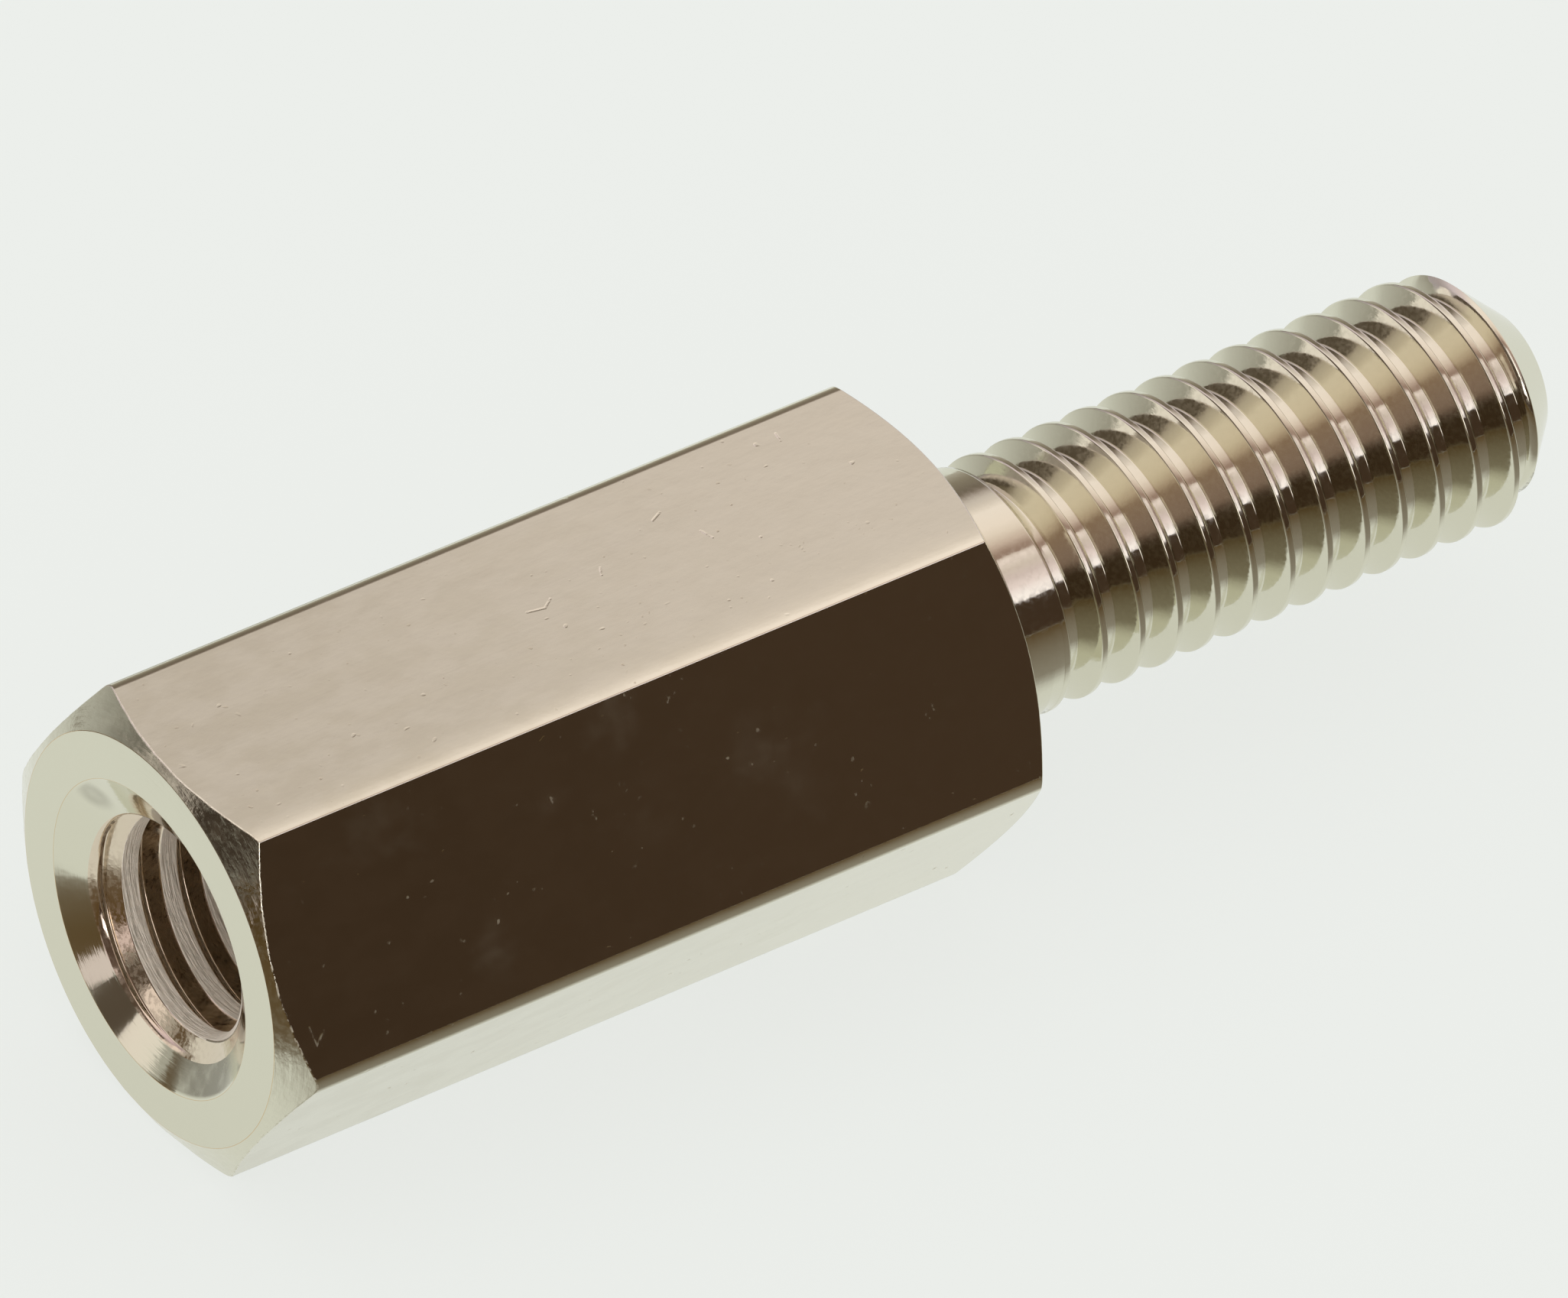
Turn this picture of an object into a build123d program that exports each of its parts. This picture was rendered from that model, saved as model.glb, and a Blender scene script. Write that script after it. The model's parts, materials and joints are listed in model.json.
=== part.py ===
from build123d import *
import os
from math import radians, sqrt, tan

# Male-female hexagon standoff, turned and tapped in one piece from drawn hexagon bar.
# It lies along X on one flat of the hexagon: tapped end towards -X, stud towards +X.
# The origin is under the middle of its length, on the surface that it lies on.

os.makedirs("parts", exist_ok=True)

# Hexagon body, in millimetres
across_flats = 5.0
bar_edge_radius = 0.2
body_length = 10.0
hexagon_sides = 6

# End faces and the conical chamfers round them, in millimetres and degrees
tapped_face_inset = 0.1  # from a flat of the hexagon in to the rim of the tapped end's face
shoulder_inset = 0.05  # from a flat of the hexagon in to the rim of the shoulder
end_chamfer_angle = 30.0  # slope of the chamfer from the plane of the end face

# Metric thread that the hole and the stud share, in millimetres
thread_diameter = 3.0
thread_pitch = 0.5

# Stud, in millimetres
stud_length = 8.0
stud_allowance = 0.07  # the external thread's crests lie this much under the nominal diameter
tip_chamfer = 0.72
tip_edge_radius = 0.2

# Tapped hole, in millimetres and degrees
countersink_lip = 0.35  # from the nominal thread out to the rim of the countersink
countersink_angle = 120.0
floor_thickness = 1.25  # from the drill's point to the plane of the shoulder
drill_point_angle = 118.0

# How far a cutting profile runs past the face that it cuts, in millimetres
cut_overrun = 0.5

# Sizes that follow from those above
overall_length = body_length + stud_length
bar_radius = across_flats / 2
corner_radius = across_flats / sqrt(3)
tapped_face_radius = bar_radius - tapped_face_inset
shoulder_radius = bar_radius - shoulder_inset
stud_radius = (thread_diameter - stud_allowance) / 2
drill_radius = (thread_diameter - thread_pitch) / 2
countersink_radius = thread_diameter / 2 + countersink_lip
countersink_slope = tan(radians(countersink_angle / 2))
countersink_depth = (countersink_radius - drill_radius) / countersink_slope
drill_point_height = drill_radius / tan(radians(drill_point_angle / 2))
drill_depth = body_length - floor_thickness - drill_point_height

# Sketch planes: two square to the axis, at the tapped end and at the shoulder, and one along the axis
tapped_end = (-overall_length / 2, 0, bar_radius)
shoulder = (body_length - overall_length / 2, 0, bar_radius)
bar_plane = Plane(origin=tapped_end, x_dir=(0, 1, 0), z_dir=(1, 0, 0))
shoulder_plane = Plane(origin=shoulder, x_dir=(0, 1, 0), z_dir=(1, 0, 0))
axial_plane = Plane(origin=tapped_end, x_dir=(1, 0, 0), z_dir=(0, -1, 0))
turning_axis = Axis(tapped_end, (1, 0, 0))

with BuildPart() as standoff:
    # Hexagon bar with the soft edges that drawing leaves on it
    with BuildSketch(bar_plane) as bar_section:
        RegularPolygon(radius=bar_radius, side_count=hexagon_sides, major_radius=False)
        fillet(bar_section.vertices(), radius=bar_edge_radius)
    extrude(amount=body_length)

    # Conical chamfers turned on both ends: the bar keeps what lies inside this turned outline
    turned_radius = corner_radius + cut_overrun
    chamfer_slope = tan(radians(end_chamfer_angle))
    tapped_chamfer_end = (turned_radius - tapped_face_radius) * chamfer_slope
    shoulder_chamfer_start = body_length - (turned_radius - shoulder_radius) * chamfer_slope
    with BuildSketch(axial_plane):
        with BuildLine():
            Polyline(
                (0, 0),
                (0, tapped_face_radius),
                (tapped_chamfer_end, turned_radius),
                (shoulder_chamfer_start, turned_radius),
                (body_length, shoulder_radius),
                (body_length, 0),
                close=True,
            )
        make_face()
    revolve(axis=turning_axis, mode=Mode.INTERSECT)

    # Stud at its thread's crest diameter, with a chamfered tip
    with BuildSketch(shoulder_plane):
        Circle(radius=stud_radius)
    extrude(amount=stud_length)
    tip_face = standoff.faces().sort_by(Axis.X)[-1]
    chamfer(tip_face.edges(), length=tip_chamfer)
    tip_face = standoff.faces().sort_by(Axis.X)[-1]
    fillet(tip_face.edges(), radius=tip_edge_radius)

    # Hole at its thread's drill diameter, with a countersunk mouth and the drill's conical point
    overrun_radius = countersink_radius + cut_overrun * countersink_slope
    with BuildSketch(axial_plane):
        with BuildLine():
            Polyline(
                (-cut_overrun, 0),
                (-cut_overrun, overrun_radius),
                (countersink_depth, drill_radius),
                (drill_depth, drill_radius),
                (drill_depth + drill_point_height, 0),
                close=True,
            )
        make_face()
    revolve(axis=turning_axis, mode=Mode.SUBTRACT)

standoff.part.label = "standoff"
export_step(standoff.part, "parts/standoff.step")
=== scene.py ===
import json
from math import cos, pi, radians, sin, tan

import bpy
import numpy as np
from mathutils import Matrix, Vector


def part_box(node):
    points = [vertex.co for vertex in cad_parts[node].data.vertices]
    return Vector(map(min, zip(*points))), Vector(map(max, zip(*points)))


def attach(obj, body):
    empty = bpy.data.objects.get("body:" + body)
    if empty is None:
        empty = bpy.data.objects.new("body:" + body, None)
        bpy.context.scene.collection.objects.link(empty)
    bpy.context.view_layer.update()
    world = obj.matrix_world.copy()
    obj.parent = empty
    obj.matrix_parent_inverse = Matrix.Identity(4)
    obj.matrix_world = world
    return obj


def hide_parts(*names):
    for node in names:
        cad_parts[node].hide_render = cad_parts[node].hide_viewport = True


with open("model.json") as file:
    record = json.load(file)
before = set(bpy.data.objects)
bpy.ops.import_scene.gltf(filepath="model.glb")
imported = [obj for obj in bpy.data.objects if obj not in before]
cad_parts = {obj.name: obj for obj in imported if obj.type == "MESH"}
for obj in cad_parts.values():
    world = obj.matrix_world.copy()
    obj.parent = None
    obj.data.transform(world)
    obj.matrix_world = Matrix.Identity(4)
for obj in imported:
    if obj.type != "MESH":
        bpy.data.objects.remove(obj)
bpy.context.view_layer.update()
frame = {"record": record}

# One millimetre in the frame's metres: the sizes below are in millimetres and degrees
MM = 0.001

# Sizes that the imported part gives
part_low, part_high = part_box("standoff")
mounts = {mount["name"]: mount for mount in frame["record"]["mounts"]}
across_flats = (part_high.z - part_low.z) / MM
overall_length = (part_high.x - part_low.x) / MM
tapped_end_x = part_low.x / MM
axis_height = across_flats / 2
body_length = mounts["shoulder"]["pos_m"][0] / MM - tapped_end_x
drill_radius = mounts["tapped_hole"]["dims"]["r_mm"]
stud_radius = mounts["stud"]["dims"]["r_mm"]

# Hexagon bar with the chamfers on its ends
hexagon_sides = 6
edge_radius = 0.2
sharp_edge = 2  # this long edge is sharp, and the flat before it rolls over towards it
sharp_edge_radius = 0.03
sharp_edge_roll = radians(10)
sharp_edge_drop = 0.02
tapped_face_inset = 0.1
shoulder_inset = 0.05
end_chamfer_slope = tan(radians(30))

# Countersunk mouth and drill point of the hole
countersink_radius = 1.85
countersink_slope = tan(radians(60))
drill_point_slope = tan(radians(59))
floor_thickness = 1.25
tapped_depth = 5.5

# Tip of the stud
tip_chamfer = 0.72
tip_edge_radius = 0.2

# Threads
thread_pitch = 0.5
flank_slope = tan(radians(29))
stud_crest_x = 0.324  # place of a crest from the tapped face, at angle zero
stud_crest_half_width = 0.035
stud_thread_depth = 0.275
run_out_start = 0.95  # from the shoulder to where the groove begins
run_out_length = 0.25
hole_crest_x = 0.111
hole_crest_half_width = 0.11
hole_thread_depth = 0.2
thread_rounding = 0.018  # softness of the edges of crests and roots
edge_blend = 0.03  # softness of the line where a thread meets a cone

# Small radii that deburring and plating leave on the edges
mouth_round = 0.012
face_round = 0.02
chamfer_round = 0.025
shoulder_round = 0.02
stud_fillet = 0.04
thread_start_share = 1.5  # of that fillet, from the shoulder to the first row of the thread
ragged_edge = 0.009  # how far the torn edge of the tapped end's chamfer strays
ragged_seed = 5

# Share of the plating that is worn off along the middle of an edge
mouth_wear = 0.9
rim_wear = 0.7

# Fineness of the mesh
corner_segments = 5
flat_columns = 20
flat_rows = 24
round_segments = 3
same_place = 1e-6  # places closer than this are one vertex
least_length = 1e-12  # keeps a normal of no length from a division by zero

# Sizes that follow
bar_radius = across_flats / 2
corner_angle = 2 * pi / hexagon_sides
tapped_face_radius = bar_radius - tapped_face_inset
shoulder_radius = bar_radius - shoulder_inset
countersink_depth = (countersink_radius - drill_radius) / countersink_slope
drill_point_height = drill_radius / drill_point_slope
drill_depth = body_length - floor_thickness - drill_point_height


def smooth_min(a, b, width):
    """The lower of two values, with the corner between them rounded over a width."""
    near = np.maximum(width - np.abs(a - b), 0) / width
    return np.minimum(a, b) - near * near * width / 4


def smooth_max(a, b, width):
    return -smooth_min(-a, -b, width)


def smooth_step(share):
    share = np.clip(share, 0, 1)
    return share * share * (3 - 2 * share)


# Columns: the angles of the mesh round the axis, from +Y to +Z, close together at the bar's rounded edges

def edge_section(edge):
    """Angles and radii of one rounded long edge, with how far the flats before and after it reach."""
    sharp = edge % hexagon_sides == sharp_edge
    radius = sharp_edge_radius if sharp else edge_radius
    roll = sharp_edge_roll if sharp else 0.0
    drop = sharp_edge_drop if sharp else 0.0
    height = bar_radius - drop - radius * cos(roll)
    across = (bar_radius - radius - height * cos(corner_angle)) / sin(corner_angle)
    half = corner_angle / 2
    turn = np.linspace(roll - half, half, corner_segments + 1)
    outward = height * cos(half) + across * sin(half) + radius * np.cos(turn)
    sideways = across * cos(half) - height * sin(half) + radius * np.sin(turn)
    return {
        "angles": edge * corner_angle + np.arctan2(sideways, outward),
        "radii": np.hypot(outward, sideways),
        "flat_end": across + radius * sin(roll),
        "flat_start": across * cos(corner_angle) - height * sin(corner_angle),
        "roll": roll,
        "drop": drop,
    }


def bar_columns():
    """Angles and radii of the bar's section, and how far each may stray where the chamfer tore it."""
    angles, radii, strays = [], [], []
    share = (1 + np.sin(np.linspace(-pi / 2, pi / 2, flat_columns + 2)[1:-1])) / 2
    for side in range(hexagon_sides):
        edge = edge_section(side)
        next_edge = edge_section(side + 1)
        across = edge["flat_start"] + (next_edge["flat_end"] - edge["flat_start"]) * share
        height = np.full(flat_columns, bar_radius)
        if next_edge["drop"]:
            power = tan(next_edge["roll"]) * next_edge["flat_end"] / next_edge["drop"]
            height -= next_edge["drop"] * (np.maximum(across, 0) / next_edge["flat_end"]) ** power
        angles += [edge["angles"], (side + 0.5) * corner_angle + np.arctan2(across, height)]
        radii += [edge["radii"], np.hypot(across, height)]
        strays += [np.zeros(corner_segments + 1), np.sin(pi * share)]
    return np.concatenate(angles), np.concatenate(radii), np.concatenate(strays)


column_angle, bar_outline, column_stray = bar_columns()
columns = len(column_angle)


def ring(x, r):
    """One row of the mesh: its place along the axis and its radius in every column."""
    return np.broadcast_to(x, columns).astype(float), np.broadcast_to(r, columns).astype(float)


def rounded(before, corner, after, radius, segments=round_segments):
    """Rows along an arc that rounds the corner between two stretches of the profile."""
    before, corner, after = (np.stack(ring(*place)) for place in (before, corner, after))
    towards = (before - corner) / np.linalg.norm(before - corner, axis=0)
    onwards = (after - corner) / np.linalg.norm(after - corner, axis=0)
    half = np.arccos(np.clip((towards * onwards).sum(0), -1, 1)) / 2
    reach = radius / np.tan(half)
    inward = towards + onwards
    centre = corner + inward / np.linalg.norm(inward, axis=0) * radius / np.sin(half)
    first = corner + towards * reach - centre
    last = corner + onwards * reach - centre
    swing = pi - 2 * half
    rows = []
    for step in range(segments + 1):
        share = step / segments
        arm = (np.sin((1 - share) * swing) * first + np.sin(share * swing) * last) / np.sin(swing)
        rows.append(tuple(centre + arm))
    return rows


def thread_depth(from_crest, half_width, depth):
    """Depth of the groove at a distance from the nearest crest's middle."""
    offset = (from_crest + thread_pitch / 2) % thread_pitch - thread_pitch / 2
    flank = (np.abs(offset) - half_width) / flank_slope
    return smooth_max(smooth_min(flank, depth, thread_rounding), 0, thread_rounding)


def rows_of_a_turn(half_width, depth):
    """Places of rows across one pitch, from a crest's middle, closest at the edges of crest and root."""
    turn = thread_rounding * flank_slope
    root_edge = half_width + depth * flank_slope
    near = [0, half_width - turn, half_width, half_width + turn, (half_width + root_edge) / 2,
            root_edge - turn, root_edge, root_edge + turn, thread_pitch / 2]
    return np.array(near + [thread_pitch - place for place in near[-2:0:-1]])


def helical_rows(start, end, crest_x, turn_rows):
    """Places along the axis of rows that follow the helix from one end of a thread to the other."""
    first_turn = np.floor((start - crest_x) / thread_pitch) - 1
    turns = int(np.ceil((end - start) / thread_pitch)) + 3
    crests = crest_x + (first_turn + np.arange(turns)) * thread_pitch
    rows = (crests[:, None] + turn_rows).ravel()
    return np.clip(rows[:, None] + column_angle / (2 * pi) * thread_pitch, start, end)


def stud_thread():
    """Rows of the stud from the shoulder to its tip, with the thread's groove cut into them."""
    start = body_length + stud_fillet * thread_start_share
    end = overall_length - tip_chamfer + stud_thread_depth + edge_blend
    turn_rows = rows_of_a_turn(stud_crest_half_width, stud_thread_depth)
    x = helical_rows(start, end, stud_crest_x, turn_rows)
    from_crest = x - stud_crest_x - column_angle / (2 * pi) * thread_pitch
    groove = thread_depth(from_crest, stud_crest_half_width, stud_thread_depth)
    fade = smooth_step((x - body_length - run_out_start) / run_out_length)
    tip_cone = stud_radius + overall_length - tip_chamfer - x
    r = smooth_min(stud_radius - groove * fade, tip_cone, edge_blend)
    return list(zip(x, np.minimum(r, stud_radius)))


def hole_thread():
    """Rows of the hole from the end of the tapped length out to the countersink."""
    start = countersink_depth - hole_thread_depth / countersink_slope - edge_blend
    turn_rows = rows_of_a_turn(hole_crest_half_width, hole_thread_depth)
    x = helical_rows(start, tapped_depth, hole_crest_x, turn_rows)
    from_crest = x - hole_crest_x - column_angle / (2 * pi) * thread_pitch
    groove = thread_depth(from_crest, hole_crest_half_width, hole_thread_depth)
    fade = smooth_step((tapped_depth - x) / thread_pitch)
    cone = countersink_radius - x * countersink_slope
    r = smooth_max(drill_radius + groove * fade, cone, edge_blend)
    return list(zip(x, r))[::-1]


# Sections of the profile, from the bottom of the hole round to the tip of the stud
DRAWN, TURNED, THREADED, TORN, BURRED, DRILLED, TAPPED = range(7)


def section(rows, finish, rows_in_a_turn=0):
    """Rows, with the finish of the faces after each, how worn their plating is and the helix's step."""
    return {
        "rows": rows,
        "finishes": np.full((len(rows), columns), finish),
        "worn": np.zeros((len(rows), columns)),
        "step": rows_in_a_turn,
    }


def worn_edge(rows, finish, worn):
    """A rounded edge whose plating is worn along its middle."""
    made = section(rows, finish)
    made["worn"][1:-1] = worn
    return made


def hole_section():
    """The hole's thread, with rough lands that the drill left and worn edges beside them."""
    turn_rows = rows_of_a_turn(hole_crest_half_width, hole_thread_depth)
    made = section(hole_thread(), TAPPED, -len(turn_rows))
    from_crest = np.minimum(turn_rows, thread_pitch - turn_rows)
    on_land = from_crest <= hole_crest_half_width
    on_edge = from_crest == hole_crest_half_width
    count = len(made["rows"])
    for row, (x, r) in enumerate(made["rows"]):
        place = (count - 1 - row) % len(turn_rows)
        if on_land[place] and on_land[place - 1]:
            made["finishes"][row] = np.where(r < drill_radius + thread_rounding, DRILLED, TURNED)
        if on_edge[place]:
            made["worn"][row] = r < drill_radius + thread_rounding
    made["finishes"][-1] = TURNED
    return made


def profile_sections():
    """All sections of the profile in their order."""
    stray = np.random.default_rng(ragged_seed).uniform(-ragged_edge, ragged_edge, columns) * column_stray
    tapped_chamfer_x = (bar_outline - tapped_face_radius) * end_chamfer_slope + stray
    shoulder_chamfer_x = body_length - (bar_outline - shoulder_radius) * end_chamfer_slope
    hole_end = (drill_depth, drill_radius)
    in_the_hole = (countersink_depth, drill_radius)
    mouth = (0.0, countersink_radius)
    face_rim = (0.0, tapped_face_radius)
    tapped_edge = (tapped_chamfer_x, bar_outline)
    shoulder_edge = (shoulder_chamfer_x, bar_outline)
    shoulder_rim = (body_length, shoulder_radius)
    stud_root = (body_length, stud_radius)
    on_the_stud = (body_length + stud_thread_depth, stud_radius)
    tip_cone_start = (overall_length - tip_chamfer, stud_radius)
    tip_cone_end = (overall_length, stud_radius - tip_chamfer)
    tip_middle = (overall_length, 0.0)

    drilled = [
        ring(drill_depth + drill_point_height, 0.0),
        ring(*hole_end),
        ring(tapped_depth, drill_radius),
    ]
    near_edge = rounded(face_rim, tapped_edge, shoulder_edge, chamfer_round)
    far_edge = rounded(tapped_edge, shoulder_edge, shoulder_rim, chamfer_round)
    flat = []
    for step in range(flat_rows + 1):
        share = step / flat_rows
        flat.append(ring(near_edge[-1][0] * (1 - share) + far_edge[0][0] * share, bar_outline))
    tip = rounded(tip_cone_start, tip_cone_end, tip_middle, tip_edge_radius, 2 * round_segments)
    tip.append(ring(*tip_middle))
    stud_turn_rows = rows_of_a_turn(stud_crest_half_width, stud_thread_depth)
    return [
        section(drilled, DRILLED),
        hole_section(),
        worn_edge(rounded(in_the_hole, mouth, face_rim, mouth_round), TURNED, mouth_wear),
        worn_edge(rounded(mouth, face_rim, tapped_edge, face_round), TORN, rim_wear),
        section(near_edge, BURRED),
        section(flat, DRAWN),
        section(far_edge, TORN),
        section(rounded(shoulder_edge, shoulder_rim, stud_root, shoulder_round), TURNED),
        section(rounded(shoulder_rim, stud_root, on_the_stud, stud_fillet), THREADED),
        section(stud_thread(), THREADED, len(stud_turn_rows)),
        section(tip, TURNED),
    ]


def build_mesh():
    """The closed skin of the standoff as vertices, how far each is worn, faces and each face's finish."""
    sections = profile_sections()
    rows = [row for part in sections for row in part["rows"]]
    x = np.array([row[0] for row in rows])
    r = np.array([row[1] for row in rows])
    worn = np.concatenate([part["worn"] for part in sections]).ravel()
    places = np.stack([x, r * np.cos(column_angle), r * np.sin(column_angle)], axis=-1)
    index = np.arange(x.size).reshape(x.shape)
    same_as_last = np.linalg.norm(np.diff(places, axis=0), axis=-1) < same_place
    for row in range(1, len(index)):
        index[row] = np.where(same_as_last[row - 1], index[row - 1], index[row])
    index[0] = index[0, 0]
    index[-1] = index[-1, 0]

    faces, finishes = [], []
    first = 0
    for part in sections:
        last = first + len(part["rows"]) - 1
        for row in range(first, min(last + 1, len(index) - 1)):
            step = part["step"] if row < last else 0
            wrapped = [min(max(place + step, first), last) if step else place for place in (row, row + 1)]
            lower, upper = index[row], index[row + 1]
            next_lower = np.append(lower[1:], index[wrapped[0], 0])
            next_upper = np.append(upper[1:], index[wrapped[1], 0])
            faces.append(np.stack([lower, next_lower, next_upper, upper], axis=1))
            finishes.append(part["finishes"][row - first])
        first = last + 1
    return places.reshape(-1, 3), worn, np.concatenate(faces), np.concatenate(finishes)


def shading_normals(places, quads):
    """Normals that follow the larger faces round each vertex, so that flats, cones and flanks look true."""
    corners = places[quads]
    area = np.cross(corners[:, 2] - corners[:, 0], corners[:, 3] - corners[:, 1])
    weighted = area * np.linalg.norm(area, axis=1, keepdims=True)
    normals = np.zeros_like(places)
    for corner in range(4):
        np.add.at(normals, quads[:, corner], weighted)
    return normals / np.maximum(np.linalg.norm(normals, axis=1, keepdims=True), least_length)


def make_standoff(materials):
    """The standoff in one piece, with a material for each finish."""
    places, worn, quads, finishes = build_mesh()
    used, quads = np.unique(quads, return_inverse=True)
    quads = quads.reshape(-1, 4)
    normals = shading_normals(places[used], quads)
    faces, kept = [], []
    for quad, finish in zip(quads.tolist(), finishes.tolist()):
        corners = list(dict.fromkeys(quad))
        if len(corners) > 2:
            faces.append(corners)
            kept.append(finish)
    places = (places[used] + np.array([tapped_end_x, 0.0, axis_height])) * MM
    mesh = bpy.data.meshes.new("plated_standoff")
    mesh.from_pydata(places.tolist(), [], faces)
    for material in materials:
        mesh.materials.append(material)
    mesh.polygons.foreach_set("material_index", kept)
    mesh.attributes.new("worn", "FLOAT", "POINT").data.foreach_set("value", worn[used])
    mesh.validate()
    mesh.shade_smooth()
    mesh.normals_split_custom_set_from_vertices(normals.tolist())
    piece = bpy.data.objects.new("plated_standoff", mesh)
    bpy.context.scene.collection.objects.link(piece)
    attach(piece, "root")
    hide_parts("standoff")


# Materials

NICKEL = (0.71, 0.69, 0.56, 1.0)
DULL_NICKEL = (0.67, 0.65, 0.525, 1.0)
BRIGHT_NICKEL = (0.78, 0.755, 0.615, 1.0)
TARNISH = (0.63, 0.607, 0.48, 1.0)
THIN_NICKEL = (0.72, 0.62, 0.49, 1.0)
ROUGH_NICKEL = (0.96, 0.87, 0.77, 1.0)
STAIN = (0.56, 0.53, 0.40, 1.0)
# Painted shade: the dark colour of patches where reflections look dark
PAINTED_SHADE = (0.30, 0.28, 0.22, 1.0)
BRASS = (0.62, 0.40, 0.17, 1.0)


def add(tree, kind, links=None, **values):
    """Adds a shader node, sets its sockets and properties, and links what feeds it."""
    made = tree.nodes.new(kind)
    for name, value in values.items():
        if name in made.inputs:
            made.inputs[name].default_value = value
        else:
            setattr(made, name, value)
    for name, source in (links or {}).items():
        tree.links.new(source, made.inputs[name])
    return made


def new_material(name):
    material = bpy.data.materials.new(name)
    material.use_nodes = True
    material.node_tree.nodes.clear()
    return material


def math(tree, operation, *sources):
    """The outcome of one operation on sockets and plain numbers."""
    made = add(tree, "ShaderNodeMath", operation=operation)
    for number, source in enumerate(sources):
        if isinstance(source, float):
            made.inputs[number].default_value = source
        else:
            tree.links.new(source, made.inputs[number])
    return made.outputs["Value"]


def total(tree, *shares):
    """The sum of sockets, each times a number."""
    made = None
    for socket, size in shares:
        share = math(tree, "MULTIPLY", socket, size)
        made = share if made is None else math(tree, "ADD", made, share)
    return made


def ease(tree, value, low, high):
    """A smooth step from nothing at one value to one at another."""
    made = add(tree, "ShaderNodeMapRange", {"Value": value}, interpolation_type="SMOOTHSTEP")
    made.inputs["From Min"].default_value = low
    made.inputs["From Max"].default_value = high
    return made.outputs["Result"]


def part_place(tree):
    """Places on the part in millimetres, from the foot of its middle."""
    place = add(tree, "ShaderNodeTexCoord").outputs["Object"]
    return add(tree, "ShaderNodeVectorMath", {0: place}, operation="SCALE", Scale=1 / MM).outputs["Vector"]


def grain(tree, place, waves_per_mm, detail=3.0):
    """Noise with so many waves a millimetre along X, Y and Z."""
    spread = add(tree, "ShaderNodeVectorMath", {0: place}, operation="MULTIPLY")
    spread.inputs[1].default_value = waves_per_mm
    noise = add(tree, "ShaderNodeTexNoise", {"Vector": spread.outputs["Vector"]}, Scale=1.0, Detail=detail)
    return noise.outputs["Fac"]


def spots(tree, place, cells_per_mm, share, radius):
    """Round spots in a share of the cells of a random pattern: one in a spot and nothing outside."""
    cells = add(tree, "ShaderNodeTexVoronoi", {"Vector": place}, Scale=cells_per_mm)
    pick = add(tree, "ShaderNodeSeparateColor", {"Color": cells.outputs["Color"]}).outputs["Red"]
    reach = radius * cells_per_mm
    inside = ease(tree, cells.outputs["Distance"], reach, reach / 3)
    return math(tree, "MULTIPLY", inside, math(tree, "LESS_THAN", pick, share))


def mixed(tree, share, first, second):
    """A colour between two, of which either may be a socket."""
    made = add(tree, "ShaderNodeMix", {"Factor": share}, data_type="RGBA")
    for socket, colour in ((made.inputs[6], first), (made.inputs[7], second)):
        if isinstance(colour, tuple):
            socket.default_value = colour
        else:
            tree.links.new(colour, socket)
    return made.outputs[2]


def metal(tree, colour, roughness, relief, metallic=1.0):
    """Ends a material as metal with relief in millimetres."""
    bump = add(tree, "ShaderNodeBump", {"Height": relief}, Distance=MM)
    shader = add(tree, "ShaderNodeBsdfPrincipled", {
        "Base Color": colour, "Roughness": roughness, "Normal": bump.outputs["Normal"]}, Metallic=metallic)
    add(tree, "ShaderNodeOutputMaterial", {"Surface": shader.outputs["BSDF"]})


scratch_half_width = 0.022


def scratch(tree, place, start, end):
    """A narrow groove from one place to another: one along its middle and nothing outside."""
    start, end = Vector(start), Vector(end)
    run = end - start
    from_start = add(tree, "ShaderNodeVectorMath", {0: place}, operation="SUBTRACT")
    from_start.inputs[1].default_value = start
    along = add(tree, "ShaderNodeVectorMath", {0: from_start.outputs["Vector"]}, operation="DOT_PRODUCT")
    along.inputs[1].default_value = run / run.length_squared
    held = add(tree, "ShaderNodeClamp", {"Value": along.outputs["Value"]}).outputs["Result"]
    nearest = add(tree, "ShaderNodeVectorMath", {"Scale": held}, operation="SCALE")
    nearest.inputs[0].default_value = run
    gap = add(tree, "ShaderNodeVectorMath", {
        0: from_start.outputs["Vector"], 1: nearest.outputs["Vector"]}, operation="DISTANCE").outputs["Value"]
    return ease(tree, gap, scratch_half_width, 0.0)


# Scratches and the nick, each as the places that it runs through
bent_scratch = ((-4.20, 0.09, 5.0), (-3.99, 0.05, 5.0), (-3.86, 0.145, 5.0))
slant_scratch = ((-2.19, 0.62, 5.0), (-2.05, 0.69, 5.0))
cross_scratch = ((-1.83, 0.22, 5.0), (-1.78, 0.07, 5.0))
far_scratch = ((-0.24, 1.10, 5.0), (-0.26, 0.98, 5.0))
short_scratch = ((-3.11, 0.28, 5.0), (-3.16, 0.18, 5.0))
v_nick = ((-8.67, -2.54, 3.10), (-8.63, -2.65, 2.91), (-8.51, -2.585, 3.02))
scratches = [bent_scratch, slant_scratch, cross_scratch, far_scratch, short_scratch, v_nick]

# Patches of painted shade, darker and duller, where reflections in the mouth and on the tapped end's chamfer
# look dark: the place of each, its radius and its share
mouth_painted_shade = (((-8.85, -1.08, 1.36), 0.95, 1.0), ((-8.87, 1.33, 3.53), 0.30, 0.45))
corner_painted_shade = (((-8.9, -0.35, 4.95), 2.3, 0.9),)
painted_shade_grain = (3, 3, 3)
painted_shade_limits = (0.15, 0.55)
painted_shade_least = 0.5  # where it is thinnest


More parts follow.
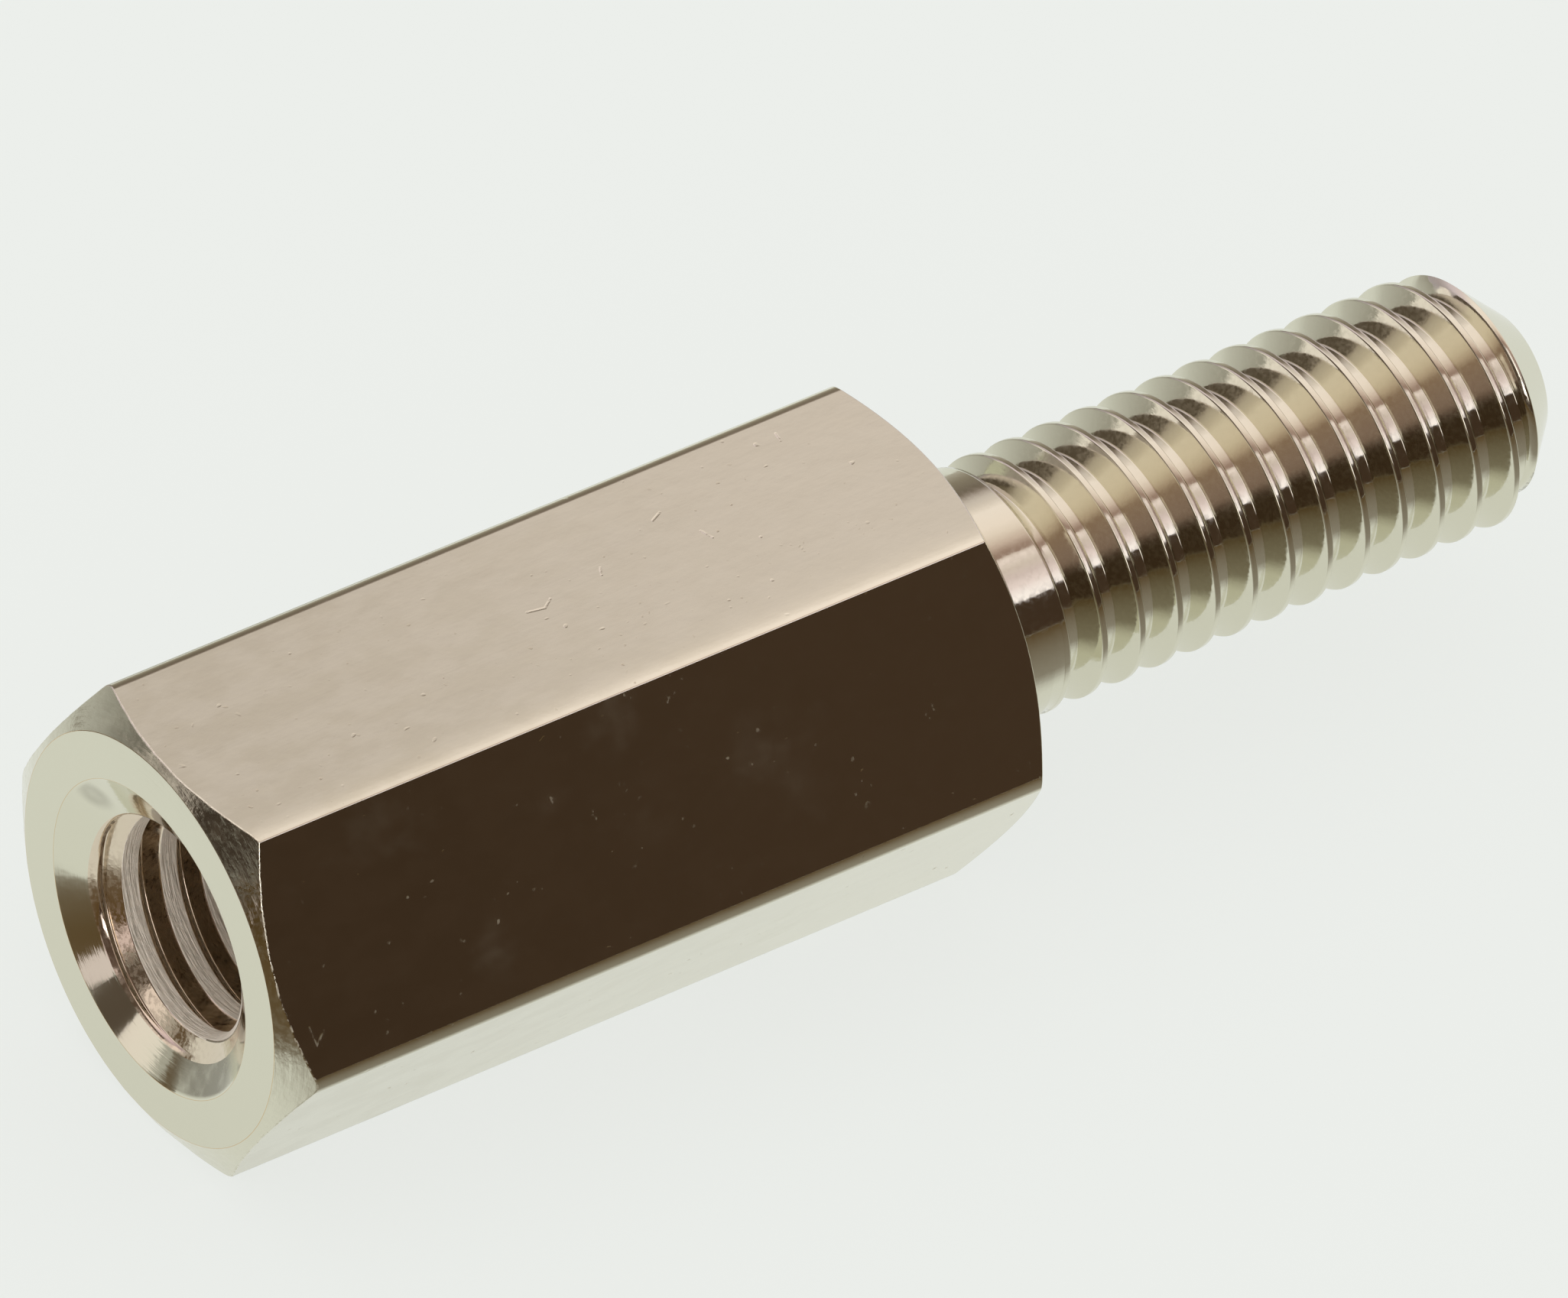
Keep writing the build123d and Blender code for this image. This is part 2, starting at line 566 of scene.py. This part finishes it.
def painted_shade_patches(tree, place, patches):
    """Soft round patches of painted shade: each is densest near its middle and ends at its radius."""
    made = 0.0
    for middle, radius, share in patches:
        gap = add(tree, "ShaderNodeVectorMath", {0: place}, operation="DISTANCE")
        gap.inputs[1].default_value = middle
        patch = math(tree, "MULTIPLY", ease(tree, gap.outputs["Value"], radius, radius / 3), share)
        made = math(tree, "MAXIMUM", made, patch)
    thick = ease(tree, grain(tree, place, painted_shade_grain), *painted_shade_limits)
    thickness = math(tree, "ADD", painted_shade_least, math(tree, "MULTIPLY", thick, 1 - painted_shade_least))
    return math(tree, "MULTIPLY", made, thickness)


# Flats of the bar: grain in waves a millimetre along X, Y and Z, and the limits between which it shows
wave_grain = (0.5, 0.9, 0.9)
mottle_grain = (5, 6, 6)
line_grain = (0.3, 20, 20)
pit_grain = (7, 8, 8)
pit_limits = (0.72, 0.82)
cluster_grain = (1.3, 1.3, 1.3)
cluster_limits = (0.42, 0.68)
speck_grain = (11, 11, 11)
speck_limits = (0.70, 0.80)
haze_grain = (0.7, 0.9, 0.9)
haze_limits = (0.56, 0.72)
tarnish_grain = (1.6, 2.6, 2.6)
tarnish_limits = (0.38, 0.62)
mark_grain = (13, 13, 13)
mark_limits = (0.25, 0.55)
brightening_x = (-9.0, 0.5)  # along the bar the colour gets brighter from the first place to the second
brightening_share = 0.75
wave_height = 0.004
mottle_height = 0.0013
line_height = 0.0003
pit_depth = 0.0015
speck_depth = 0.001
mark_depth = 0.0025
coarse_detail = 1.0
fine_detail = 5.0

# Roughness of the flats, and what each kind of mark adds to it
drawn_roughness = 0.05
mottle_dulling = 0.07
speck_dulling = 0.35
mark_dulling = 0.3
haze_dulling = 0.14


def drawn_nickel():
    """Flats of the bar: waves, drawing lines along it, pits, specks, tarnish, haze and scratches."""
    material = new_material("drawn_nickel")
    tree = material.node_tree
    place = part_place(tree)
    waves = grain(tree, place, wave_grain)
    mottle = grain(tree, place, mottle_grain)
    lines = grain(tree, place, line_grain)
    pits = ease(tree, grain(tree, place, pit_grain, coarse_detail), *pit_limits)
    clusters = ease(tree, grain(tree, place, cluster_grain), *cluster_limits)
    single = ease(tree, grain(tree, place, speck_grain, coarse_detail), *speck_limits)
    specks = math(tree, "MULTIPLY", clusters, single)
    haze = ease(tree, grain(tree, place, haze_grain), *haze_limits)
    tarnish = ease(tree, grain(tree, place, tarnish_grain, fine_detail), *tarnish_limits)
    along = add(tree, "ShaderNodeSeparateXYZ", {"Vector": place}).outputs["X"]
    brightening = math(tree, "MULTIPLY", ease(tree, along, *brightening_x), brightening_share)
    marks = None
    for bends in scratches:
        for start, end in zip(bends, bends[1:]):
            mark = scratch(tree, place, start, end)
            marks = mark if marks is None else math(tree, "MAXIMUM", marks, mark)
    marks = math(tree, "MULTIPLY", marks, ease(tree, grain(tree, place, mark_grain), *mark_limits))
    relief = total(
        tree, (waves, wave_height), (mottle, mottle_height), (lines, line_height), (pits, -pit_depth),
        (specks, -speck_depth), (marks, -mark_depth))
    hazy = math(tree, "MULTIPLY", haze, mottle)
    dull = total(
        tree, (mottle, mottle_dulling), (specks, speck_dulling), (marks, mark_dulling), (hazy, haze_dulling))
    roughness = math(tree, "ADD", drawn_roughness, dull)
    plated = mixed(tree, brightening, mixed(tree, tarnish, DULL_NICKEL, TARNISH), BRIGHT_NICKEL)
    metal(tree, mixed(tree, specks, plated, STAIN), roughness, relief)
    return material


# Turned faces: rings that follow the radius, a cloud, and stains in cells of a random pattern
ring_grain = (24, 24, 0)
cloud_grain = (2, 2, 2)
stain_cells_per_mm = 0.9
stain_share = 0.35
stain_radius = 0.09
stain_strength = 0.8
ring_height = 0.0008
cloud_height = 0.003
turned_roughness = 0.03
ring_dulling = 0.05
cloud_dulling = 0.05
stain_dulling = 0.25
painted_shade_dulling = 0.2
painted_shade_start = (0.005, 0.03)  # painted shade in the mouth begins this far below the tapped end's face


def turned_nickel():
    """End faces, countersink and tip: rings from the tool, a few stains, and painted shade in the mouth."""
    material = new_material("turned_nickel")
    tree = material.node_tree
    place = part_place(tree)
    parts = add(tree, "ShaderNodeSeparateXYZ", {"Vector": place}).outputs
    from_axis = add(tree, "ShaderNodeCombineXYZ", {
        "X": parts["Y"], "Y": math(tree, "SUBTRACT", parts["Z"], axis_height)})
    radius = add(tree, "ShaderNodeVectorMath", {0: from_axis.outputs["Vector"]}, operation="LENGTH")
    across = add(tree, "ShaderNodeCombineXYZ", {"X": radius.outputs["Value"], "Y": parts["X"]})
    rings = grain(tree, across.outputs["Vector"], ring_grain)
    cloud = grain(tree, place, cloud_grain)
    stains = spots(tree, place, stain_cells_per_mm, stain_share, stain_radius)
    # Painted shade: darker, duller patches in the mouth of the hole, below the face
    below_face = ease(tree, parts["X"], *(tapped_end_x + depth for depth in painted_shade_start))
    dull = math(tree, "MULTIPLY", painted_shade_patches(tree, place, mouth_painted_shade), below_face)
    worn = add(tree, "ShaderNodeAttribute", attribute_name="worn").outputs["Fac"]
    relief = total(tree, (rings, ring_height), (cloud, cloud_height))
    rough = total(
        tree, (rings, ring_dulling), (cloud, cloud_dulling), (stains, stain_dulling), (dull, painted_shade_dulling))
    roughness = math(tree, "ADD", turned_roughness, rough)
    plated = mixed(tree, math(tree, "MULTIPLY", stains, stain_strength), NICKEL, STAIN)
    plated = mixed(tree, dull, plated, PAINTED_SHADE)
    metal(tree, mixed(tree, worn, plated, BRASS), roughness, relief)
    return material


# Cut faces: streaks have few waves across the axis, and grit is dull between its limits
streak_waves_across = 2.5
patch_grain = (5, 5, 5)
grit_grain = (16, 16, 16)
grit_limits = (0.42, 0.6)


def cut_nickel(
        name, colour, roughness, dull_roughness, streaks_per_mm, streak_height, grit_height,
        shade_patches=(), metallic=1.0):
    """Threads, chamfers and lands: the cutter's streaks round the axis, dull grit, brass at worn edges, and
    painted shade in any given patches.
    """
    material = new_material(name)
    tree = material.node_tree
    place = part_place(tree)
    streaks = grain(tree, place, (streaks_per_mm, streak_waves_across, streak_waves_across))
    patches = grain(tree, place, patch_grain)
    grit = grain(tree, place, grit_grain)
    dull = ease(tree, grit, *grit_limits)
    worn = add(tree, "ShaderNodeAttribute", attribute_name="worn").outputs["Fac"]
    relief = total(tree, (streaks, streak_height), (patches, streak_height), (grit, grit_height))
    spread = math(tree, "ADD", roughness, math(tree, "MULTIPLY", dull, dull_roughness - roughness))
    # Painted shade in the given patches: darker colour where a reflection looks dark
    plated = mixed(tree, painted_shade_patches(tree, place, shade_patches), colour, PAINTED_SHADE) if shade_patches else colour
    metal(tree, mixed(tree, worn, plated, BRASS), spread, relief, metallic)
    return material


# Stage: floor, world and the panels that the metal mirrors, with the floor's half width in metres

PALE = (0.84, 0.863, 0.832)
floor_half = 3.0
floor_matt_share = 0.14


def glowing(name, colour):
    """A material that shines in one colour, or in what a function makes in its node tree."""
    material = new_material(name)
    tree = material.node_tree
    if callable(colour):
        glow = add(tree, "ShaderNodeEmission", {"Color": colour(tree)})
    else:
        glow = add(tree, "ShaderNodeEmission", Color=(*colour, 1.0))
    add(tree, "ShaderNodeOutputMaterial", {"Surface": glow.outputs["Emission"]})
    material.cycles.emission_sampling = "NONE"
    return material


def colour_stops(tree, factor, stops, low, high):
    """Colours that change from stop to stop, where the factor goes from the low place to the high one."""
    ramp = add(tree, "ShaderNodeValToRGB", {"Fac": factor})
    elements = ramp.color_ramp.elements
    elements.remove(elements[0])
    for number, (place, colour) in enumerate(stops):
        share = (place - low) / (high - low)
        element = elements[0] if number == 0 else elements.new(share)
        element.position = share
        element.color = (*colour, 1.0)
    return ramp.outputs["Color"]


def make_world():
    world = bpy.data.worlds.new("pale_room")
    bpy.context.scene.world = world
    world.use_nodes = True
    background = world.node_tree.nodes["Background"]
    background.inputs["Color"].default_value = (*PALE, 1.0)
    background.inputs["Strength"].default_value = 1.0


def make_floor():
    mesh = bpy.data.meshes.new("floor")
    corners = [(-floor_half, -floor_half, 0), (floor_half, -floor_half, 0),
               (floor_half, floor_half, 0), (-floor_half, floor_half, 0)]
    mesh.from_pydata(corners, [], [(0, 1, 2, 3)])
    material = new_material("pale_floor")
    tree = material.node_tree
    matt = add(tree, "ShaderNodeBsdfDiffuse", Color=(floor_matt_share,) * 3 + (1.0,))
    glow = add(tree, "ShaderNodeEmission", Color=(*PALE, 1.0), Strength=1 - floor_matt_share)
    both = tree.nodes.new("ShaderNodeAddShader")
    tree.links.new(matt.outputs["BSDF"], both.inputs[0])
    tree.links.new(glow.outputs["Emission"], both.inputs[1])
    add(tree, "ShaderNodeOutputMaterial", {"Surface": both.outputs["Shader"]})
    mesh.materials.append(material)
    floor = bpy.data.objects.new("floor", mesh)
    bpy.context.scene.collection.objects.link(floor)


def direction(turn, along):
    """Unit direction at an angle round the axis, from +Y to +Z, and an angle along it towards +X."""
    turn, along = radians(turn), radians(along)
    return Vector((sin(along), cos(along) * cos(turn), cos(along) * sin(turn)))


def only_in_reflections(made):
    made.visible_camera = False
    made.visible_diffuse = False
    made.visible_transmission = False
    made.visible_shadow = False


def panel(name, distance, turns, alongs, stops, lean=0.0, pieces=24):
    """A curved panel of a light tent that only reflections show, with colours that change round the axis.

    The distance is in metres. A panel that leans turns by so many degrees for each degree along the axis.
    """
    places, spreads, faces = [], [], []
    for row in range(pieces + 1):
        for column in range(pieces + 1):
            turn = turns[0] + (turns[1] - turns[0]) * row / pieces
            along = alongs[0] + (alongs[1] - alongs[0]) * column / pieces
            places.append(direction(turn + lean * (along - alongs[1]), along) * distance)
            spreads.append((column / pieces, row / pieces))
    for row in range(pieces):
        for column in range(pieces):
            corner = row * (pieces + 1) + column
            faces.append((corner, corner + 1, corner + pieces + 2, corner + pieces + 1))
    mesh = bpy.data.meshes.new(name)
    mesh.from_pydata(places, [], faces)
    layer = mesh.uv_layers.new(name="spread")
    for loop in mesh.loops:
        layer.data[loop.index].uv = spreads[loop.vertex_index]

    def colour(tree):
        spread = add(tree, "ShaderNodeUVMap", uv_map="spread")
        parts = add(tree, "ShaderNodeSeparateXYZ", {"Vector": spread.outputs["UV"]})
        return colour_stops(tree, parts.outputs["Y"], stops, *turns)

    mesh.materials.append(glowing(name, colour))
    made = bpy.data.objects.new(name, mesh)
    made.location = (0, 0, axis_height * MM)
    bpy.context.scene.collection.objects.link(made)
    only_in_reflections(made)


# Colours of the panels, each after its angle round the axis from +Y to +Z
tent_stops = [
    (0, (0.49, 0.44, 0.49)), (12, (0.50, 0.43, 0.47)), (20, (0.61, 0.53, 0.59)), (28, (0.79, 0.68, 0.78)),
    (45, (0.92, 0.78, 0.85)), (54, (1.05, 0.94, 0.95)), (62, (1.15, 1.03, 1.02)), (79, (1.13, 0.99, 0.96)),
    (87, (1.02, 0.88, 0.83)), (96, (0.78, 0.62, 0.57)), (104, (0.42, 0.29, 0.25)), (129, (0.38, 0.27, 0.26)),
    (138, (0.34, 0.24, 0.23)), (146, (0.12, 0.08, 0.07)), (152, (0.063, 0.040, 0.026)),
    (180, (0.061, 0.036, 0.022)),
]
dark_card_stops = [
    (0, (0.55, 0.52, 0.47)), (8, (0.42, 0.38, 0.33)), (17, (0.31, 0.27, 0.22)), (33, (0.22, 0.18, 0.15)),
    (37, (0.25, 0.20, 0.17)), (41, (0.45, 0.38, 0.36)), (45, (0.66, 0.58, 0.57)), (49, (0.78, 0.695, 0.687)),
    (55, (0.88, 0.78, 0.76)), (62, (1.10, 0.98, 0.96)),
]
leaning_card_stops = [
    (0, (0.22, 0.18, 0.15)), (20, (0.14, 0.11, 0.095)), (42, (0.14, 0.11, 0.095)), (47, (0.70, 0.60, 0.64)),
    (56, (1.03, 0.92, 0.94)),
]
leaning_card_lean = 1.6
lamp_stops = [
    (108, (0.80, 0.67, 0.64)), (113, (1.10, 0.95, 0.97)), (121, (0.85, 0.73, 0.71)),
    (129, (0.87, 0.72, 0.76)), (137, (1.10, 0.94, 1.01)), (145, (1.32, 1.22, 1.33)),
    (150, (1.38, 1.28, 1.40)),
]
second_lamp_stops = [
    (112, (1.5, 1.35, 1.4)), (136, (1.5, 1.35, 1.4)), (143, (0.9, 0.8, 0.84)), (150, (0.12, 0.09, 0.08)),
]
left_stops = [(0, (0.10, 0.075, 0.055)), (90, (0.16, 0.12, 0.10)), (180, (0.061, 0.036, 0.022))]
far_left_stops = [(0, (1.0, 0.94, 0.9)), (14, (1.05, 0.94, 0.92))]
glint_stops = [(148, (4.0, 3.8, 3.8)), (167, (3.0, 2.8, 2.9))]
hole_lamp_stops = [(105, (0.5, 0.46, 0.45)), (125, (1.0, 0.93, 0.9)), (147, (3.0, 2.8, 2.7))]

# Card before the tapped end, in millimetres
end_card_distance = 15.0
end_card_left = 2.9
end_card_right = -0.9
end_card_height = 2.6
end_card_colour = (0.85, 0.74, 0.75)

# Sheet round the part, in millimetres: painted shade, dark over the floor only where reflections show it
surround_reach_share = 0.25  # of the floor
surround_start = 2.2  # from the axis, where the painted shade over the floor's reflection on the near side begins
surround_step = 4.2  # where the painted shade has reached the first share, from which it goes on slowly
surround_step_share = 0.62
surround_half_distance = 5.0
surround_far_start = 7.0  # the same on the far side
surround_far_half_distance = 6.0
surround_far_share = 0.62
surround_far_x = (6.0, 1.0)  # it begins at the first place along the axis and is full at the second
surround_end = 3.45  # past the tapped end, where the painted shade over the floor there begins and soon grows
surround_end_half_distance = 0.09
surround_end_y = (17.0, 10.0)  # it begins at the first place across and is full from the second
surround_colour = (0.115, 0.07, 0.025)
surround_lift = 0.01


def make_painted_shade_sheet():
    """A sheet on the floor that only reflections show, dark away from the part's sides and tapped end:
    painted shade over the floor's reflection.
    """
    mesh = bpy.data.meshes.new("surround")
    reach = floor_half * surround_reach_share
    corners = [(-reach, -reach, 0), (reach, -reach, 0), (reach, reach, 0), (-reach, reach, 0)]
    mesh.from_pydata(corners, [], [(0, 1, 2, 3)])
    material = new_material("surround")
    tree = material.node_tree
    place = add(tree, "ShaderNodeTexCoord").outputs["Object"]
    parts = add(tree, "ShaderNodeSeparateXYZ", {"Vector": place}).outputs
    past_end = math(tree, "SUBTRACT", (tapped_end_x - surround_end) * MM, parts["X"])
    near_side = math(tree, "MULTIPLY", parts["Y"], -1.0)
    past_side = math(tree, "SUBTRACT", near_side, surround_start * MM)

    def share_at(distance, half_distance):
        held = math(tree, "MAXIMUM", distance, 0.0)
        return math(tree, "DIVIDE", held, math(tree, "ADD", held, half_distance * MM))

    side_share = total(
        tree,
        (ease(tree, near_side, surround_start * MM, surround_step * MM), surround_step_share),
        (share_at(past_side, surround_half_distance), 1 - surround_step_share))
    past_far_side = math(tree, "SUBTRACT", parts["Y"], surround_far_start * MM)
    far_share = math(
        tree, "MULTIPLY",
        math(tree, "MULTIPLY", share_at(past_far_side, surround_far_half_distance), surround_far_share),
        ease(tree, parts["X"], *(place * MM for place in surround_far_x)))
    end_share = math(
        tree, "MULTIPLY", share_at(past_end, surround_end_half_distance),
        ease(tree, parts["Y"], *(place * MM for place in surround_end_y)))
    share = math(tree, "MAXIMUM", math(tree, "MAXIMUM", side_share, far_share), end_share)
    clear = tree.nodes.new("ShaderNodeBsdfTransparent")
    dark = add(tree, "ShaderNodeEmission", Color=(*surround_colour, 1.0))
    both = add(tree, "ShaderNodeMixShader", {
        0: share, 1: clear.outputs["BSDF"], 2: dark.outputs["Emission"]})
    add(tree, "ShaderNodeOutputMaterial", {"Surface": both.outputs["Shader"]})
    material.cycles.emission_sampling = "NONE"
    mesh.materials.append(material)
    sheet = bpy.data.objects.new("surround", mesh)
    sheet.location = (0, 0, surround_lift * MM)
    bpy.context.scene.collection.objects.link(sheet)
    only_in_reflections(sheet)


def make_end_card():
    """A small bright card that stands before the tapped end, for the countersink to mirror."""
    mesh = bpy.data.meshes.new("end_card")
    x = tapped_end_x - end_card_distance
    corners = [
        (x, end_card_right, 0),
        (x, end_card_left, 0),
        (x, end_card_left, end_card_height),
        (x, end_card_right, end_card_height),
    ]
    mesh.from_pydata([[size * MM for size in corner] for corner in corners], [], [(0, 1, 2, 3)])
    mesh.materials.append(glowing("end_card", end_card_colour))
    card = bpy.data.objects.new("end_card", mesh)
    bpy.context.scene.collection.objects.link(card)
    only_in_reflections(card)


def make_tent():
    panel("tent", distance=0.40, turns=(0, 180), alongs=(-90, 90), stops=tent_stops)
    panel("dark_card", distance=0.38, turns=(0, 62), alongs=(16, 32.5), stops=dark_card_stops)
    panel(
        "leaning_card", distance=0.38, turns=(0, 56), alongs=(-12, 16), stops=leaning_card_stops,
        lean=leaning_card_lean)
    panel("dark_wall", distance=0.38, turns=(0, 180), alongs=(-90, -45), stops=left_stops)
    panel("far_left_card", distance=0.36, turns=(0, 14), alongs=(-66, -36), stops=far_left_stops)
    panel("second_lamp", distance=0.36, turns=(112, 150), alongs=(-28, -2), stops=second_lamp_stops)
    panel("glint_lamp", distance=0.36, turns=(148, 167), alongs=(-46, -20), stops=glint_stops)
    panel("lamp", distance=0.34, turns=(108, 150), alongs=(20, 31), stops=lamp_stops)
    panel("hole_lamp", distance=0.35, turns=(105, 147), alongs=(-50, -30), stops=hole_lamp_stops)
    make_end_card()
    make_painted_shade_sheet()


# Camera at the photograph's view

view_azimuth = radians(-38.14)
view_elevation = radians(42.42)
view_roll = radians(5.37)
view_target = Vector((-0.713, 0.0, 2.916)) * MM
view_distance = 456.2 * MM
view_width = 17.024 * MM


def make_camera():
    back = Vector((
        sin(view_azimuth) * cos(view_elevation),
        -cos(view_azimuth) * cos(view_elevation),
        sin(view_elevation)))
    level = Vector((cos(view_azimuth), sin(view_azimuth), 0.0))
    upright = back.cross(level)
    right = level * cos(view_roll) + upright * sin(view_roll)
    up = back.cross(right)
    data = bpy.data.cameras.new("camera")
    data.sensor_fit = "HORIZONTAL"
    data.sensor_width = 36.0
    data.lens = data.sensor_width * view_distance / view_width
    data.clip_start = 0.01
    data.clip_end = 10.0
    camera = bpy.data.objects.new("camera", data)
    turned = Matrix((right, up, back)).transposed().to_4x4()
    camera.matrix_world = Matrix.Translation(view_target + back * view_distance) @ turned
    bpy.context.scene.collection.objects.link(camera)
    bpy.context.scene.camera = camera


make_standoff([
    drawn_nickel(),
    turned_nickel(),
    cut_nickel(
        "thread_nickel", NICKEL, roughness=0.06, dull_roughness=0.13,
        streaks_per_mm=26, streak_height=0.0004, grit_height=0.0004),
    cut_nickel(
        "torn_nickel", NICKEL, roughness=0.10, dull_roughness=0.20,
        # painted shade on the chamfers near the top corner of the tapped end
        streaks_per_mm=26, streak_height=0.004, grit_height=0.0015, shade_patches=corner_painted_shade),
    cut_nickel(
        "burred_nickel", NICKEL, roughness=0.08, dull_roughness=0.45,
        streaks_per_mm=26, streak_height=0.003, grit_height=0.004),
    cut_nickel(
        "drilled_nickel", ROUGH_NICKEL, roughness=0.40, dull_roughness=0.75,
        streaks_per_mm=30, streak_height=0.022, grit_height=0.008, metallic=0.35),
    cut_nickel(
        "tapped_nickel", THIN_NICKEL, roughness=0.08, dull_roughness=0.20,
        streaks_per_mm=26, streak_height=0.001, grit_height=0.001),
])
make_world()
make_floor()
make_tent()
make_camera()
bpy.context.scene.view_settings.view_transform = "Standard"
